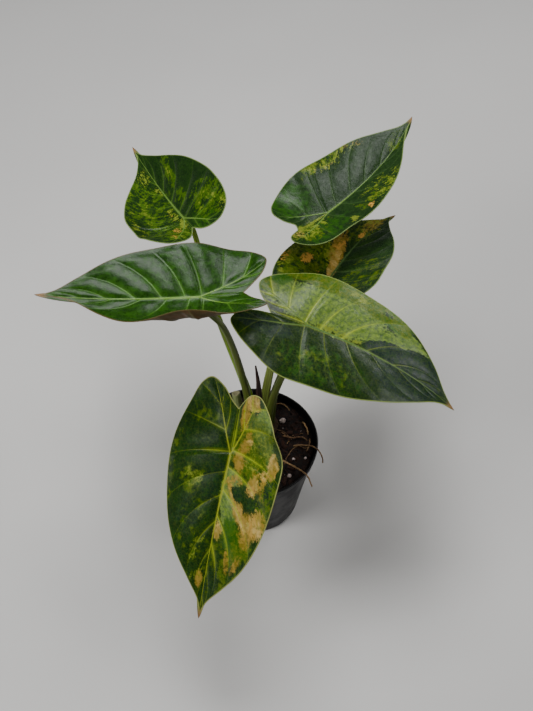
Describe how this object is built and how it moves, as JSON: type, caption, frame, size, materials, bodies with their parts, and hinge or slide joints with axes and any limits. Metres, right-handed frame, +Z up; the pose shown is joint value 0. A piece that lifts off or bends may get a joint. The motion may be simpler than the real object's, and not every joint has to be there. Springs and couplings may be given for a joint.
{
  "type": "potted alocasia wentii",
  "caption": "Variegated alocasia wentii: arrow-shaped green and cream leaves on long stalks, growing in a round black nursery pot.",
  "frame": {"origin": "middle of the pot's flat base, on the surface that the pot stands on", "axes": "+Z up; the lowest leaf hangs over the -Y side, which faces the viewer"},
  "size_m": [0.3403, 0.4425, 0.3163],
  "materials": {
    "black_plastic": "thin moulded black plastic with a soft sheen",
    "bark_mix": "dark bark and peat with white grains and tan roots",
    "brown_stem": "rough brown stem skin",
    "dry_sheath": "dry, papery, purple-brown sheath",
    "cut_green": "pale grey-green stub with a dried cut face",
    "green_petiole": "smooth pale olive-green leaf stalk",
    "variegated_blade": "glossy dark green blade streaked with lime, cream and orange, with pale veins and edge"
  },
  "bodies": {
    "root": {"pot": "black_plastic", "potting_mix": "bark_mix", "stem_base": "brown_stem", "withered_sheath": "dry_sheath", "cut_petiole": "cut_green", "petiole_1": "green_petiole", "petiole_2": "green_petiole", "petiole_3": "green_petiole", "petiole_4": "green_petiole", "petiole_5": "green_petiole", "petiole_6": "green_petiole", "leaf_1": "variegated_blade", "leaf_2": "variegated_blade", "leaf_3": "variegated_blade", "leaf_4": "variegated_blade", "leaf_5": "variegated_blade", "leaf_6": "variegated_blade"}
  },
  "joints": []
}
